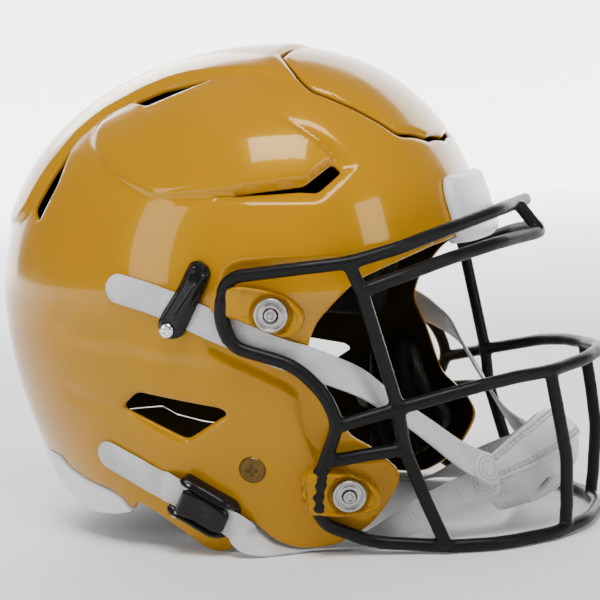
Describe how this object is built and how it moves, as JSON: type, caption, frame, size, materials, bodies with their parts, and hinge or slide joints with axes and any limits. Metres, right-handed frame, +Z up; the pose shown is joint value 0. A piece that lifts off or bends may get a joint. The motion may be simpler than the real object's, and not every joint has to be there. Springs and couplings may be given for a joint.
{
  "type": "american football helmet",
  "caption": "Football helmet with a one-piece domed shell, hinged crown panel, wire face mask on quick-release clips, padded liner and a four-point chin cup with straps.",
  "frame": {"origin": "under the middle of the helmet, on the surface that it stands on", "axes": "+Z up, the face looks along -Y, +X is the wearer's left"},
  "size_m": [0.2586, 0.3507, 0.2695],
  "materials": {
    "shell_paint": "high-gloss golden yellow lacquer over moulded polycarbonate",
    "clip_gold": "satin-gloss golden yellow moulding",
    "mask_black": "thick satin black coating on steel wire",
    "bumper_white": "semi-gloss white rubbery moulding",
    "washer_steel": "turned steel with fine rings",
    "screw_bronze": "dark gold plated",
    "screw_chrome": "bright plated",
    "fitting_black": "glossy black moulding",
    "strap_white": "woven satin webbing with ribs",
    "cup_white": "satin white shell with stitched cover",
    "cup_lining": "soft brushed lining",
    "liner_black": "matt black foam-backed cover"
  },
  "bodies": {
    "root": {"back_pad": "liner_black", "bridge_screws": "screw_chrome", "buckle_base_left": "fitting_black", "buckle_base_right": "fitting_black", "buckle_pins": "screw_chrome", "clip_washers": "washer_steel", "crown_pad": "liner_black", "front_bumper": "bumper_white", "front_pad": "liner_black", "jaw_pad_left": "liner_black", "jaw_pad_right": "liner_black", "jaw_screws": "screw_bronze", "lower_strap_left": "strap_white", "lower_strap_right": "strap_white", "mask_bottom_bar": "mask_black", "mask_brow_bar": "mask_black", "mask_brow_link": "mask_black", "mask_clip_lower_left": "clip_gold", "mask_clip_lower_right": "clip_gold", "mask_clip_upper_left": "clip_gold", "mask_clip_upper_right": "clip_gold", "mask_front_upright_left": "mask_black", "mask_front_upright_right": "mask_black", "mask_lower_brow_bar": "mask_black", "mask_mid_bar": "mask_black", "mask_side_bar_left": "mask_black", "mask_side_bar_right": "mask_black", "mask_side_loop_left": "mask_black", "mask_side_loop_right": "mask_black", "mask_upright_left": "mask_black", "mask_upright_right": "mask_black", "neck_pad": "liner_black", "rear_bumper": "bumper_white", "shell": "shell_paint", "shell_nuts": "washer_steel", "side_pad_left": "liner_black", "side_pad_right": "liner_black", "strap_bridge_left": "fitting_black", "strap_bridge_right": "fitting_black", "upper_strap_left": "strap_white", "upper_strap_right": "strap_white"},
    "flex_panel": {"flex_panel": "shell_paint"},
    "chin_cup": {"chin_cup": "cup_white", "chin_cup_pad": "cup_lining"},
    "button_upper_right": {"release_button_upper_right": "washer_steel"},
    "button_upper_left": {"release_button_upper_left": "washer_steel"},
    "button_lower_right": {"release_button_lower_right": "washer_steel"},
    "button_lower_left": {"release_button_lower_left": "washer_steel"},
    "lever_right": {"buckle_lever_right": "fitting_black"},
    "lever_left": {"buckle_lever_left": "fitting_black"}
  },
  "joints": [
    {"name": "flex_panel_bend", "type": "hinge", "parent": "root", "child": "flex_panel", "pos_m": [0, -0.006, 0.267], "axis": [1, 0, 0], "range_deg": [0, 3.5], "stiffness_Nm_per_rad": 2, "springref_deg": -5.73},
    {"name": "chin_cup_travel", "type": "slide", "parent": "root", "child": "chin_cup", "axis": [0, 0.6, 0.8], "range_m": [0, 0.012], "deforming": ["upper_strap_right", "upper_strap_left", "lower_strap_right", "lower_strap_left"]},
    {"name": "release_upper_right", "type": "slide", "parent": "root", "child": "button_upper_right", "axis": [0.9808, 0.1947, -0.0111], "range_m": [0, 0.002], "stiffness_N_per_m": 400, "springref_m": -0.001},
    {"name": "release_upper_left", "type": "slide", "parent": "root", "child": "button_upper_left", "axis": [-0.9808, 0.1947, -0.0111], "range_m": [0, 0.002], "stiffness_N_per_m": 400, "springref_m": -0.001},
    {"name": "release_lower_right", "type": "slide", "parent": "root", "child": "button_lower_right", "axis": [0.9127, 0.3433, 0.2217], "range_m": [0, 0.002], "stiffness_N_per_m": 400, "springref_m": -0.001},
    {"name": "release_lower_left", "type": "slide", "parent": "root", "child": "button_lower_left", "axis": [-0.9127, 0.3433, 0.2217], "range_m": [0, 0.002], "stiffness_N_per_m": 400, "springref_m": -0.001},
    {"name": "buckle_lever_right", "type": "hinge", "parent": "root", "child": "lever_right", "pos_m": [-0.11608, 0.03279, 0.03141], "axis": [0.1976, 0.5, -0.8432], "range_deg": [0, 80]},
    {"name": "buckle_lever_left", "type": "hinge", "parent": "root", "child": "lever_left", "pos_m": [0.11608, 0.03279, 0.03141], "axis": [0.1976, -0.5, 0.8432], "range_deg": [0, 80]}
  ]
}
